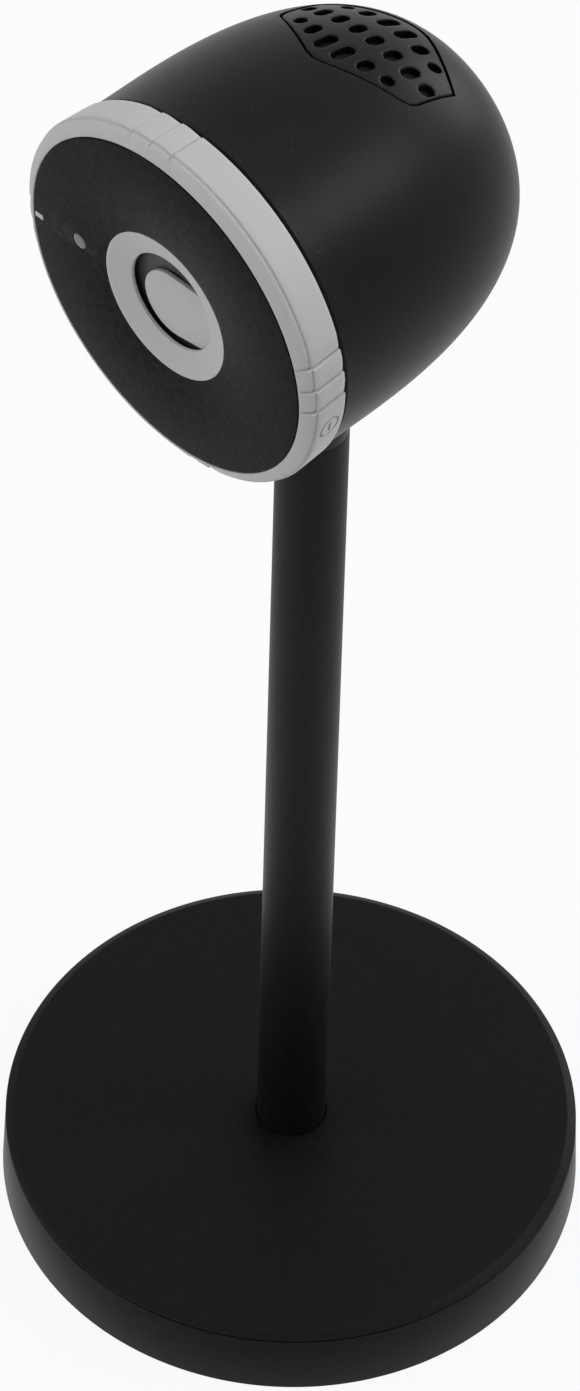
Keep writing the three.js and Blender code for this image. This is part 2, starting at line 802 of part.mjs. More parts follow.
const lightPipe = rodAlongY(LIGHT_RADIUS, 0, DECK_FRONT, TINY, LIGHT_X, LIGHT_Z);
addPiece(camera, "light_pipe", lightPipe, paint(0x4a4a4e, 0.2));
const ledDeep = DECK_THICK - 0.1;
const led = block(1.5, ledDeep, 1.5, LIGHT_X, DECK_FRONT + FACE_GAP + ledDeep / 2, LIGHT_Z);
addPiece(camera, "status_led", led, paint(0xf0ead0, 0.4));
const ledBoardFront = deckBack + FACE_GAP;
const ledBoard = block(7, 0.8, 5, LIGHT_X + 1.6, ledBoardFront + 0.4, LIGHT_Z);
const leftPost = postPlaces[1];
const ledNotch = rodAlongY(1.9, ledBoardFront - 1, ledBoardFront + 2, TINY, leftPost[0], leftPost[1]);
addPiece(camera, "led_board", cut(ledBoard, ledNotch), board());

// ---- Control ring with its gear ----
const ringGroup = new THREE.Group();
ringGroup.name = "ring";
ringGroup.rotation.y = rad(RING_TURN_AT_REST);
camera.add(ringGroup);

const ringBore = GUIDE_RADIUS + TURN_GAP;
const ringPitch = (GEAR_MODULE * RING_TEETH) / 2;
const gearFront = plateBack + TURN_GAP;
const gearBack = DECK_FRONT - TURN_GAP;
const gearRoot = ringPitch + TOOTH_ROOT;
const ringBlank = turned(
  [
    [RING_FRONT_RADIUS, 0],
    [RING_RADIUS, RING_CHAMFER],
    [RING_BACK_RADIUS, RING_BACK - 0.3],
    [RING_BACK_RADIUS - 0.3, RING_BACK],
    [ringBore, RING_BACK],
    [ringBore, gearBack],
    [gearRoot, gearBack],
    [gearRoot, gearFront],
    [ringBore, gearFront],
    [ringBore, PLATE_FRONT],
    [RING_FRONT_RADIUS, PLATE_FRONT],
  ],
  FINE,
);

// One tooth of a gear centred on the origin, pointing along +X: in for the ring, out for the shutter.
function toothOutline(pitch, inward, rooted) {
  const way = inward ? -1 : 1;
  const lean = Math.tan(rad(20));
  const tip = pitch + way * TOOTH_TOP;
  const foot = pitch - way * (TOOTH_ROOT + rooted);
  const tipHalf = TOOTH_HALF - TOOTH_TOP * lean;
  const footHalf = TOOTH_HALF + TOOTH_ROOT * lean;
  return [
    [tip, -tipHalf],
    [foot, -footHalf],
    [foot, footHalf],
    [tip, tipHalf],
  ];
}

function toothAt(outline, degrees, front, back) {
  const points = outline[0][0] < outline[1][0] ? [...outline].reverse() : outline;
  const ordered = THREE.ShapeUtils.isClockWise(points.map(([x, y]) => new THREE.Vector2(x, y)))
    ? [...points].reverse()
    : points;
  return prismBack(ordered, front, back).rotateY(-rad(degrees));
}

const ringToothStep = 360 / RING_TEETH;
const ringTeeth = [];
for (let i = -3; i <= 9; i++) {
  const degrees = (i + 0.5) * ringToothStep + RING_TURN_AT_REST;
  ringTeeth.push(toothAt(toothOutline(ringPitch, true, 0.3), degrees, gearFront, gearBack));
}
const gripCutters = [];
for (let g = 0; g < GRIP_GROUPS; g++) {
  for (let k = 0; k < GRIPS_IN_GROUP; k++) {
    const turn = (g * 360) / GRIP_GROUPS + (k - (GRIPS_IN_GROUP - 1) / 2) * GRIP_STEP;
    const wide = RING_RADIUS * Math.sin(rad(GRIP_STEP * 0.7));
    const wedge = prismBack(
      [
        [0, RING_RADIUS - GRIP_DEPTH],
        [wide, RING_RADIUS + 0.6],
        [0, RING_RADIUS + 0.6],
      ],
      RING_CHAMFER + 0.4,
      RING_BACK + 1,
    );
    gripCutters.push(wedge.rotateY(rad(turn)));
  }
}
const controlRing = cut(join(ringBlank, ...ringTeeth), ...gripCutters);
addPiece(ringGroup, "control_ring", controlRing, lightGrey());

// ---- Shutter blade on its pivot ----
const shutterGroup = new THREE.Group();
shutterGroup.name = "shutter";
shutterGroup.position.set(pivotX, 0, 0);
camera.add(shutterGroup);

const shutterPitch = (GEAR_MODULE * SHUTTER_TEETH) / 2;
const shutterBack = SHUTTER_FRONT + SHUTTER_THICK;
const shutterRoot = shutterPitch - TOOTH_ROOT;
const tipX = BLADE_X - pivotX;
const armLength = Math.hypot(tipX, BLADE_Z);
const armAngle = THREE.MathUtils.radToDeg(Math.atan2(BLADE_Z, tipX));
const hubRadius = 4.2;

function bladeOutline() {
  const points = [];
  const flank = THREE.MathUtils.radToDeg(Math.asin((BLADE_RADIUS - hubRadius) / armLength));
  for (let i = 0; i <= 16; i++) {
    const [x, z] = circlePoint(BLADE_RADIUS, -90 - flank + ((180 + 2 * flank) * i) / 16);
    points.push([x + armLength, z]);
  }
  for (let i = 0; i <= 8; i++) {
    const [x, z] = circlePoint(hubRadius, 90 + flank + ((180 - 2 * flank) * i) / 8);
    points.push([x, z]);
  }
  return points.map(([x, z]) => {
    const [cos, sin] = circlePoint(1, armAngle);
    return [x * cos - z * sin, x * sin + z * cos];
  });
}

function sectorOutline(radius, from, to) {
  const points = [[0, 0]];
  for (let i = 0; i <= 12; i++) points.push(circlePoint(radius, from + ((to - from) * i) / 12));
  return points;
}

const shutterStep = 360 / SHUTTER_TEETH;
const shutterTeeth = [];
for (let i = -1; i <= 7; i++) {
  shutterTeeth.push(
    toothAt(toothOutline(shutterPitch, false, 0.3), i * shutterStep, SHUTTER_FRONT, shutterBack),
  );
}
const sectorFrom = -1.5 * shutterStep;
const sectorTo = 7.5 * shutterStep;
const shutter = cut(
  join(
    prismBack(bladeOutline(), SHUTTER_FRONT, shutterBack),
    prismBack(sectorOutline(shutterRoot, sectorFrom, sectorTo), SHUTTER_FRONT, shutterBack),
    rodAlongY(hubRadius, SHUTTER_FRONT, shutterBack, SMALL),
    ...shutterTeeth,
  ),
  rodAlongY(PIVOT_RADIUS + PIVOT_GAP, 0, DECK_FRONT, SMALL),
);
addPiece(shutterGroup, "shutter_blade", shutter, lightGrey());
const pivot = rodAlongY(PIVOT_RADIUS, plateBack + FACE_GAP, deckBack + 0.6, SMALL, pivotX, 0);
addPiece(camera, "shutter_pivot", pivot, steel());

// ---- Lens ----
const lensBore = BARREL_RADIUS - BARREL_WALL;
const lensSeat = BARREL_FRONT + LENS_THICK + 0.2;
const rearSeat = BARREL_BACK - LENS_THICK - 0.6;
const barrel = turned(
  [
    [lensBore, BARREL_FRONT],
    [BARREL_RADIUS, BARREL_FRONT],
    [BARREL_RADIUS, BARREL_BACK],
    [lensBore, BARREL_BACK],
    [lensBore, rearSeat],
    [lensBore - 0.6, rearSeat],
    [lensBore - 0.6, lensSeat],
    [lensBore, lensSeat],
  ],
  SMALL,
);
addPiece(camera, "lens_barrel", barrel, softBlack());
const lensRadius = lensBore - SEAT_GAP;
const frontLens = turned(
  [
    [0, lensSeat - LENS_THICK],
    [lensRadius * 0.5, lensSeat - LENS_THICK + 0.15],
    [lensRadius * 0.85, lensSeat - LENS_THICK + 0.5],
    [lensRadius, lensSeat - 0.8],
    [lensRadius, lensSeat - FACE_GAP],
    [0, lensSeat - FACE_GAP],
  ],
  SMALL,
);
addPiece(camera, "front_lens", frontLens, clear());
const rearLens = turned(
  [
    [0, rearSeat + FACE_GAP],
    [lensRadius, rearSeat + FACE_GAP],
    [lensRadius, rearSeat + 1.1],
    [lensRadius * 0.6, rearSeat + LENS_THICK - 0.1],
    [0, rearSeat + LENS_THICK],
  ],
  SMALL,
);
addPiece(camera, "rear_lens", rearLens, clear());

const sensorBoardBack = SENSOR_BOARD_FRONT + SENSOR_BOARD_THICK;
const holderBack = SENSOR_BOARD_FRONT - FACE_GAP;
const cavityFront = BARREL_BACK + 0.7;
const holder = cut(
  block(
    HOLDER_SIDE,
    holderBack - HOLDER_FRONT,
    HOLDER_SIDE,
    0,
    (HOLDER_FRONT + holderBack) / 2,
    0,
  ),
  rodAlongY(BARREL_RADIUS + FACE_GAP, HOLDER_FRONT - 1, holderBack + 1, SMALL),
  block(8.6, 10, 7.6, 0, cavityFront + 5, 0),
);
addPiece(camera, "lens_holder", holder, softBlack());
const irFilter = block(8.2, 0.4, 7.2, 0, cavityFront + 0.15, 0);
const filter = common(irFilter, block(20, 10, 20, 0, cavityFront + FACE_GAP + 5, 0));
addPiece(camera, "infrared_filter", filter, paint(0x8fb0c8, 0.05));
const sensorDeep = 0.9;
const sensor = block(7, sensorDeep, 5.5, 0, SENSOR_BOARD_FRONT - FACE_GAP - sensorDeep / 2, 0);
addPiece(camera, "image_sensor", sensor, chip());

const sensorBoard = cut(
  block(
    SENSOR_BOARD_WIDE,
    SENSOR_BOARD_THICK,
    SENSOR_BOARD_HIGH,
    0,
    SENSOR_BOARD_FRONT + SENSOR_BOARD_THICK / 2,
    0,
  ),
  ...sensorBores,
);
addPiece(camera, "sensor_board", sensorBoard, board());

// A pan-head screw whose head rests on a face at `face`, with its shaft towards `way`.
function boardScrew(face, way, long) {
  return turned(
    [
      [0, face - way * 1],
      [BOARD_SCREW_HEAD * 0.7, face - way * 1],
      [BOARD_SCREW_HEAD, face - way * 0.6],
      [BOARD_SCREW_HEAD, face - way * FACE_GAP],
      [BOARD_SCREW_RADIUS, face - way * FACE_GAP],
      [BOARD_SCREW_RADIUS, face + way * long],
      [0, face + way * long],
    ],
    TINY,
  );
}

[1, -1].forEach((side, i) => {
  const screw = boardScrew(sensorBoardBack, -1, 4);
  screw.translate(side * SENSOR_BOSS_X, 0, side * SENSOR_BOSS_Z);
  addPiece(camera, "sensor_screw_" + (i + 1), screw, steel());
});

const mainBoard = cut(
  rodAlongY(MAIN_BOARD_RADIUS, MAIN_BOARD_FRONT, MAIN_BOARD_FRONT + MAIN_BOARD_THICK, MEDIUM),
  ...screwBores,
);
addPiece(camera, "main_board", mainBoard, board());
MAIN_BOSS_ANGLES.forEach((angle, i) => {
  const [x, z] = circlePoint(MAIN_BOSS_CIRCLE, angle);
  const screw = boardScrew(MAIN_BOARD_FRONT, 1, 4.2).translate(x, 0, z);
  addPiece(camera, "board_screw_" + (i + 1), screw, steel());
});
const chipFront = MAIN_BOARD_FRONT - FACE_GAP - CHIP_THICK;
const processor = block(CHIP_SIDE, CHIP_THICK, CHIP_SIDE, 0, chipFront + CHIP_THICK / 2, 0);
addPiece(camera, "image_processor", processor, chip());
const spreaderFront = chipFront - FACE_GAP - SPREADER_THICK;
const spreader = block(
  SPREADER_SIDE,
  SPREADER_THICK,
  SPREADER_SIDE,
  0,
  spreaderFront + SPREADER_THICK / 2,
  0,
);
addPiece(camera, "heat_spreader", spreader, paint(0xc4c6c9, 0.35, 1));

// A flat cable lies on the back of the sensor board, runs back and lies on the front of the main board.
const cableStart = sensorBoardBack + FACE_GAP;
const cableEnd = MAIN_BOARD_FRONT - FACE_GAP;
const cablePath = [
  [cableStart, CABLE_Z - 4],
  [cableStart + CABLE_THICK, CABLE_Z - 4],
  [cableStart + CABLE_THICK, CABLE_Z],
  [cableEnd - CABLE_THICK, CABLE_Z],
  [cableEnd - CABLE_THICK, CABLE_Z + 3.5],
  [cableEnd, CABLE_Z + 3.5],
  [cableEnd, CABLE_Z - CABLE_THICK],
  [cableStart + 2 * CABLE_THICK, CABLE_Z - CABLE_THICK],
  [cableStart, CABLE_Z - CABLE_THICK],
];
const cableOutline = [
  cablePath[0],
  cablePath[1],
  [cableStart + CABLE_THICK, CABLE_Z - CABLE_THICK],
  cablePath[6],
  cablePath[5],
  cablePath[4],
  cablePath[3],
  [cableStart, CABLE_Z],
];
const flatCable = prismUp(
  cableOutline.map(([s, z]) => [s, z]),
  -CABLE_WIDE / 2,
  CABLE_WIDE / 2,
);
flatCable.applyMatrix4(
  new THREE.Matrix4().makeBasis(
    new THREE.Vector3(0, 1, 0),
    new THREE.Vector3(0, 0, 1),
    new THREE.Vector3(1, 0, 0),
  ),
);
addPiece(camera, "flat_cable", flatCable, paint(0xc9a45a, 0.5));

// ---- USB socket ----
const portFront = MAIN_BOARD_FRONT + MAIN_BOARD_THICK + FACE_GAP;
const portShell = cut(
  prismBack(stadium(PORT_WIDE, PORT_HIGH, 6), portFront, PORT_BACK),
  prismBack(stadium(PORT_WIDE - 0.6, PORT_HIGH - 0.6, 6), PORT_BACK - 6.5, PORT_BACK + 1),
);
const tongueLong = 5.6;
const tongue = block(6.6, tongueLong, 0.7, 0, PORT_BACK - 6.6 + tongueLong / 2, 0);
addPiece(camera, "usb_socket", join(portShell, tongue), steel());

export default group;
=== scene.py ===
import json
import math

import bmesh
import bpy
from mathutils import Matrix, Vector


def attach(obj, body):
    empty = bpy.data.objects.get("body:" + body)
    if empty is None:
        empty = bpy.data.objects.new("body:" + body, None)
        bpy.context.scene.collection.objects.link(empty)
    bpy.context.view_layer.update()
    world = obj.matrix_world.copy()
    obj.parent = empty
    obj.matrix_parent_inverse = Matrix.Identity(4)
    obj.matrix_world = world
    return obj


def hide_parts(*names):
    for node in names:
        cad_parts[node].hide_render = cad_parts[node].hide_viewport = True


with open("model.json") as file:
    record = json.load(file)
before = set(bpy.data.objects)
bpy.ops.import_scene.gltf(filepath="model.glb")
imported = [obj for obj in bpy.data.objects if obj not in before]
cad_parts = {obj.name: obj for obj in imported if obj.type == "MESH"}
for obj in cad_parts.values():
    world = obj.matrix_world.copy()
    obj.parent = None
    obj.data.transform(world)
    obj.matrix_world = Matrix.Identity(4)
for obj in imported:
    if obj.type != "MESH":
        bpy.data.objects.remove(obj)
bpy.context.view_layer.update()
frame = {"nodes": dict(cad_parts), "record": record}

# ---- Camera: angles in radians, place in metres, lens and sensor in millimetres ----
VIEW_AZIMUTH = math.radians(45.19)
VIEW_ELEVATION = math.radians(49.97)
VIEW_ROLL = math.radians(1.74)
CAMERA_PLACE = Vector((0.6631, -0.6615, 1.2201))
FOCAL_LENGTH = 271.2
SENSOR_WIDTH = 36
FARTHEST_SEEN = 20


def make_camera():
    level = math.cos(VIEW_ELEVATION)
    forward = Vector((
        -level * math.sin(VIEW_AZIMUTH),
        level * math.cos(VIEW_AZIMUTH),
        -math.sin(VIEW_ELEVATION),
    ))
    right = Vector((math.cos(VIEW_AZIMUTH), math.sin(VIEW_AZIMUTH), 0))
    up = right.cross(forward)
    rolled_right = right * math.cos(VIEW_ROLL) + up * math.sin(VIEW_ROLL)
    rolled_up = up * math.cos(VIEW_ROLL) - right * math.sin(VIEW_ROLL)
    data = bpy.data.cameras.new("camera")
    data.lens = FOCAL_LENGTH
    data.sensor_width = SENSOR_WIDTH
    data.clip_end = FARTHEST_SEEN
    camera = bpy.data.objects.new("camera", data)
    turn = Matrix((rolled_right, rolled_up, -forward)).transposed().to_4x4()
    camera.matrix_world = Matrix.Translation(CAMERA_PLACE) @ turn
    bpy.context.collection.objects.link(camera)
    bpy.context.scene.camera = camera


make_camera()

# ---- Sizes, in millimetres ----
SEAT_GAP = 0.05
FOOT_RADIUS = 39.6
FOOT_THICK = 1.6
FOOT_GROOVE = 0.35
FOOT_RECESS_RADIUS = 39.7
FOOT_RECESS_ROOF = 1.65
BASE_RADIUS = 42
BASE_EDGE_RADIUS = 41.6
BASE_TOP_RADIUS = 40.3
BASE_BOTTOM = 0.12
BASE_HEIGHT = 11.7
CAP_BOTTOM = 10.62
CAP_CHAMFER_BOTTOM = 10.9
CAP_SEAT_RADIUS = 41.1
WEIGHT_TOP = 10.37
WASHER_BORE = 4.3
WASHER_ROOF = 3.55
SCREW_BORE = 2.1
POLE_RADIUS = 5.03
POLE_INNER = 3.93
POLE_BORE = 5.13
POLE_BORE_FLOOR = 4.55
POLE_FOOT = 4.6
POLE_TOP = 161.8

BALL_HEIGHT = 167.44
BALL_RADIUS = 3.6
LINER_GAP = 0.1
LINER_THICK = 0.55
SOCKET_RADIUS = 5.03
SOCKET_SPLIT = -0.6
SOCKET_MOUTH_ANGLE = 70
SOCKET_FLOOR_ANGLE = 150
SOCKET_FLOOR_SHARE = 0.866
SPIGOT_RADIUS = 3.83
SPIGOT_LENGTH = 10
STUD_FOOT_ANGLE = 35.1
NECK_RADIUS = 2.1
NECK_TOP = 5.6
FLANGE_RADIUS = 4.95
FLANGE_BOTTOM = 6.2
FLANGE_TOP = 7.35
THREAD_RADIUS = 3.15
THREAD_START = 7.8
THREAD_STEP = 0.35
THREAD_CRESTS = 20
STUD_TOP = 15.4

HEAD_LEAN = math.radians(-4.5)
AXIS_ABOVE_BALL = 35
GLASS_FORWARD = 25.36
BODY_RADIUS = 26.9
BODY_LENGTH = 53.3
BODY_STRAIGHT_END = 11.3
DOME_POWER = 2.71
BODY_WALL = 1.8
HOUSING_FRONT = 7.15
HOUSING_CHAMFER = 0.35
INSERT_BORE = 5
INSERT_REACH = (-30, -15)
USB_OPENING = (9.14, 3.46)
USB_REACH = (46, 56)

TO_METRES = Matrix.Scale(0.001, 4)
ON_STAND = TO_METRES
ON_BALL = TO_METRES @ Matrix.Translation((0, 0, BALL_HEIGHT))
ON_LEANING_BALL = ON_BALL @ Matrix.Rotation(HEAD_LEAN, 4, "Y")
ON_HEAD = ON_LEANING_BALL @ Matrix.Translation((0, -GLASS_FORWARD, AXIS_ABOVE_BALL))
RING_TURN = Matrix.Rotation(math.radians(-4.3), 4, "Y")


# ---- Node groups ----
def new_group(name, inputs, outputs):
    group = bpy.data.node_groups.new(name, "ShaderNodeTree")
    for label, kind, value in inputs:
        socket = group.interface.new_socket(label, in_out="INPUT", socket_type=kind)
        if value is not None:
            socket.default_value = value
    for label, kind in outputs:
        group.interface.new_socket(label, in_out="OUTPUT", socket_type=kind)
    return group, group.nodes.new("NodeGroupInput"), group.nodes.new("NodeGroupOutput")


def feed(tree, value, socket):
    """Links a socket to another, or sets it to a plain number."""
    if isinstance(value, (int, float)):
        socket.default_value = value
    else:
        tree.links.new(value, socket)


def math_node(tree, operation, a, b):
    node = tree.nodes.new("ShaderNodeMath")
    node.operation = operation
    feed(tree, a, node.inputs[0])
    feed(tree, b, node.inputs[1])
    return node.outputs[0]


def noise_node(group, place, scale, detail=3.0, roughness=0.6):
    node = group.nodes.new("ShaderNodeTexNoise")
    group.links.new(place, node.inputs["Vector"])
    feed(group, scale, node.inputs["Scale"])
    node.inputs["Detail"].default_value = detail
    node.inputs["Roughness"].default_value = roughness
    return node.outputs["Fac"]


COARSE_SHARE = 0.3
COARSE_HEIGHT = 0.5
PATCH_SCALE = 55.0


def make_grain_group():
    """A mould's grain: a fine height, and slow patches that vary tone and gloss."""
    group, given, out = new_group(
        "moulded_grain",
        [("Place", "NodeSocketVector", None), ("Scale", "NodeSocketFloat", 4000.0)],
        [("Height", "NodeSocketFloat"), ("Patches", "NodeSocketFloat")],
    )
    fine = noise_node(group, given.outputs["Place"], given.outputs["Scale"])
    coarse_scale = math_node(group, "MULTIPLY", given.outputs["Scale"], COARSE_SHARE)
    coarse = noise_node(group, given.outputs["Place"], coarse_scale, detail=2.0)
    coarse_height = math_node(group, "MULTIPLY", coarse, COARSE_HEIGHT)
    group.links.new(math_node(group, "ADD", fine, coarse_height), out.inputs["Height"])
    slow = noise_node(group, given.outputs["Place"], PATCH_SCALE, detail=4.0, roughness=0.65)
    group.links.new(slow, out.inputs["Patches"])
    return group


EDGE_BREAKUP_SCALE = 900.0
EDGE_BREAKUP_SHARPENED = (0.38, 0.62)


def make_wear_and_highlight_group():
    """Edges made paler, partly as rubbed wear and partly as a painted edge highlight: the piece's own
    edge attribute, broken up by a noise.
    """
    group, given, out = new_group(
        "rubbed_and_highlit_edges",
        [
            ("Place", "NodeSocketVector", None),
            ("Edge", "NodeSocketFloat", 0.0),
            ("Amount", "NodeSocketFloat", 0.3),
        ],
        [("Mask", "NodeSocketFloat")],
    )
    broken = noise_node(group, given.outputs["Place"], EDGE_BREAKUP_SCALE, detail=5.0, roughness=0.7)
    sharpened = group.nodes.new("ShaderNodeMapRange")
    group.links.new(broken, sharpened.inputs["Value"])
    sharpened.inputs["From Min"].default_value = EDGE_BREAKUP_SHARPENED[0]
    sharpened.inputs["From Max"].default_value = EDGE_BREAKUP_SHARPENED[1]
    worn_and_highlit = math_node(group, "MULTIPLY", given.outputs["Edge"], sharpened.outputs[0])
    mask = math_node(group, "MULTIPLY", worn_and_highlit, given.outputs["Amount"])
    group.links.new(mask, out.inputs["Mask"])
    return group


SPECK_SCALE = 420.0
SPECK_RADIUS = 0.075
SPECK_PATCH_SCALE = 160.0
SPECK_PATCH_LEVEL = 0.56


def make_dust_group():
    """Sparse pale specks of dust."""
    group, given, out = new_group(
        "dust_specks",
        [("Place", "NodeSocketVector", None), ("Amount", "NodeSocketFloat", 0.1)],
        [("Mask", "NodeSocketFloat")],
    )
    cells = group.nodes.new("ShaderNodeTexVoronoi")
    cells.inputs["Scale"].default_value = SPECK_SCALE
    group.links.new(given.outputs["Place"], cells.inputs["Vector"])
    near = math_node(group, "LESS_THAN", cells.outputs["Distance"], SPECK_RADIUS)
    rare = noise_node(group, given.outputs["Place"], SPECK_PATCH_SCALE, detail=1.0)
    some = math_node(group, "GREATER_THAN", rare, SPECK_PATCH_LEVEL)
    speck = math_node(group, "MULTIPLY", near, some)
    mask = math_node(group, "MULTIPLY", speck, given.outputs["Amount"])
    group.links.new(mask, out.inputs["Mask"])
    return group


GRAIN = make_grain_group()
WEAR_AND_HIGHLIGHT = make_wear_and_highlight_group()
DUST = make_dust_group()


# ---- Materials ----
MIX_COLOUR_A, MIX_COLOUR_B, MIX_COLOUR_RESULT = 6, 7, 2
ROUGHNESS_SPREAD = 0.05
LEAST_ROUGHNESS = 0.02
COAT_ROUGHNESS = 0.1
DUST_COLOUR = (0.35, 0.34, 0.33)


def mix_colours(tree, factor, a, b):
    node = tree.nodes.new("ShaderNodeMix")
    node.data_type = "RGBA"
    tree.links.new(factor, node.inputs[0])
    for socket, value in ((node.inputs[MIX_COLOUR_A], a), (node.inputs[MIX_COLOUR_B], b)):
        if isinstance(value, tuple):
            socket.default_value = (*value, 1.0)
        else:
            tree.links.new(value, socket)
    return node.outputs[MIX_COLOUR_RESULT]


def group_node(tree, group, place, **values):
    node = tree.nodes.new("ShaderNodeGroup")
    node.node_tree = group
    tree.links.new(place, node.inputs["Place"])
    for label, value in values.items():
        node.inputs[label].default_value = value
    return node


def finish(
    name, colour, roughness, metallic=0.0, specular=0.5, grain=4000.0, depth=0.02, tone=0.12,
    wear_and_highlight=0.25, worn_and_highlit=None, dust=0.0, coat=0.0,
):
    """A grained material with paler edges, partly wear and partly a painted edge highlight, and, if
    asked, dust; depth is the grain's, in millimetres.
    """
    material = bpy.data.materials.new(name)
    material.use_nodes = True
    tree = material.node_tree
    shader = tree.nodes["Principled BSDF"]
    shader.inputs["Metallic"].default_value = metallic
    shader.inputs["Specular IOR Level"].default_value = specular
    shader.inputs["Coat Weight"].default_value = coat
    shader.inputs["Coat Roughness"].default_value = COAT_ROUGHNESS
    place = tree.nodes.new("ShaderNodeTexCoord").outputs["Object"]
    edge = tree.nodes.new("ShaderNodeAttribute")
    edge.attribute_name = "edge"
    grained = group_node(tree, GRAIN, place, Scale=grain)
    rubbed_and_highlit = group_node(tree, WEAR_AND_HIGHLIGHT, place, Amount=wear_and_highlight)
    tree.links.new(edge.outputs["Fac"], rubbed_and_highlit.inputs["Edge"])

    pale = tuple(min(1.0, c * (1 + tone)) for c in colour)
    deep = tuple(c * (1 - tone) for c in colour)
    base = mix_colours(tree, grained.outputs["Patches"], deep, pale)
    # Paler edges: partly rubbed wear, partly a painted highlight where edges catch the light.
    worn_and_highlit = worn_and_highlit or tuple(min(1.0, c * 1.6 + 0.02) for c in colour)
    base = mix_colours(tree, rubbed_and_highlit.outputs["Mask"], base, worn_and_highlit)
    if dust:
        dusty = group_node(tree, DUST, place, Amount=dust)
        base = mix_colours(tree, dusty.outputs["Mask"], base, DUST_COLOUR)
    tree.links.new(base, shader.inputs["Base Color"])

    rough = tree.nodes.new("ShaderNodeMapRange")
    rough.inputs["To Min"].default_value = max(LEAST_ROUGHNESS, roughness - ROUGHNESS_SPREAD)
    rough.inputs["To Max"].default_value = min(1.0, roughness + ROUGHNESS_SPREAD)
    tree.links.new(grained.outputs["Patches"], rough.inputs["Value"])
    tree.links.new(rough.outputs[0], shader.inputs["Roughness"])

    bump = tree.nodes.new("ShaderNodeBump")
    bump.inputs["Strength"].default_value = 1.0
    bump.inputs["Distance"].default_value = depth * 0.001
    tree.links.new(grained.outputs["Height"], bump.inputs["Height"])
    tree.links.new(bump.outputs[0], shader.inputs["Normal"])
    return material


def lens_glass(name, colour):
    material = finish(name, colour, 0.04, grain=300.0, depth=0.0005, tone=0.02, wear_and_highlight=0.0, coat=0.4)
    shader = material.node_tree.nodes["Principled BSDF"]
    shader.inputs["Transmission Weight"].default_value = 0.9
    return material


FINISHES = {
    "foot_rubber": finish("foot_rubber", (0.02, 0.02, 0.02), 0.85, grain=1500.0, depth=0.05),
    "base_paint": finish("base_paint", (0.002, 0.002, 0.0022), 0.4, specular=0.09, depth=0.01),
    "cap_paint": finish("cap_paint", (0.0065, 0.0064, 0.0071), 0.45, specular=0.07, depth=0.01),
    "pole_paint": finish("pole_paint", (0.005, 0.005, 0.0056), 0.42, specular=0.11, depth=0.008),
    "steel": finish("steel", (0.55, 0.55, 0.56), 0.28, metallic=1.0, grain=2500.0, depth=0.004),
    "brass": finish("brass", (0.62, 0.45, 0.18), 0.28, metallic=1.0, grain=2500.0, depth=0.004),
    "housing_plastic": finish(
        "housing_plastic", (0.0035, 0.0034, 0.0039), 0.38, specular=0.12, depth=0.012, dust=0.06
    ),
    "inner_plastic": finish("inner_plastic", (0.006, 0.006, 0.0065), 0.7, specular=0.2),
    "deck_plastic": finish("deck_plastic", (0.06, 0.055, 0.05), 0.5, specular=0.3),
    # Its paler edge colour is partly wear, partly a painted edge highlight on the ring's chamfers.
    "grey_plastic": finish(
        "grey_plastic", (0.57, 0.57, 0.566), 0.5, specular=0.25, depth=0.01, tone=0.025,
        worn_and_highlit=(0.66, 0.66, 0.66),
    ),
    "liner_plastic": finish("liner_plastic", (0.65, 0.65, 0.62), 0.5, tone=0.04),
    "black_rubber": finish("black_rubber", (0.014, 0.014, 0.014), 0.8, grain=1800.0, depth=0.04),
    # Its pale edge colour is partly wear, partly a painted highlight along the glass's edges.
    "front_glass": finish(
        "front_glass", (0.002, 0.0015, 0.0042), 0.3, specular=0.04, grain=6000.0, depth=0.001,
        tone=0.05, wear_and_highlight=0.3, worn_and_highlit=(0.08, 0.08, 0.08), dust=0.05,
    ),
    "optical_glass": lens_glass("optical_glass", (0.86, 0.9, 0.95)),
    "light_pipe": finish("light_pipe", (0.15, 0.15, 0.155), 0.35, coat=0.2, depth=0.002),
    "mark_print": finish("mark_print", (0.62, 0.62, 0.62), 0.6, tone=0.03),
    "circuit_board": finish(
        "circuit_board", (0.012, 0.09, 0.04), 0.3, grain=700.0, depth=0.03, tone=0.3
    ),
    "chip_resin": finish("chip_resin", (0.012, 0.012, 0.013), 0.5, grain=3000.0),
    "aluminium": finish(
        "aluminium", (0.75, 0.76, 0.78), 0.35, metallic=1.0, grain=1800.0, depth=0.01
    ),
    "cable_film": finish("cable_film", (0.5, 0.3, 0.08), 0.35, grain=900.0, tone=0.15, coat=0.3),
    "led_resin": finish("led_resin", (0.8, 0.76, 0.6), 0.2, coat=0.5, depth=0.002),
}


# ---- Making pieces ----
SMOOTH_BELOW = math.radians(38)
FULLY_WORN_AND_HIGHLIT_BEND = 0.5
WELD = 1e-4
CAD_WELD = 2e-4


def sharp_edges(mesh, degrees):
    limit = math.radians(degrees)
    return [e for e in mesh.edges if len(e.link_faces) == 2 and e.calc_face_angle(0) > limit]


def soften(mesh, width, degrees=24, segments=3):
    bmesh.ops.bevel(
        mesh, geom=sharp_edges(mesh, degrees), offset=width, offset_type="OFFSET", segments=segments,
        profile=0.5, affect="EDGES", clamp_overlap=True, material=-1,
    )


def show(node, mesh, place, body, slot):
    """Makes a bmesh, moved to its place in metres, the visible piece of a CAD node.

    Its edge attribute is 0 where the surface is flat and 1 where it bends sharply.
    """
    mesh.transform(place)
    mesh.normal_update()
    worn_and_highlit = mesh.verts.layers.float.new("edge")
    for vert in mesh.verts:
        bends = [e.calc_face_angle(0) for e in vert.link_edges if len(e.link_faces) == 2]
        vert[worn_and_highlit] = min(1.0, max(bends, default=0) / FULLY_WORN_AND_HIGHLIT_BEND)
    for face in mesh.faces:
        face.smooth = True
    piece = loose("shown_" + node, mesh)
    piece.data.set_sharp_from_angle(angle=SMOOTH_BELOW)
    piece.data.materials.append(FINISHES[slot])
    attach(piece, body)
    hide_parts(node)


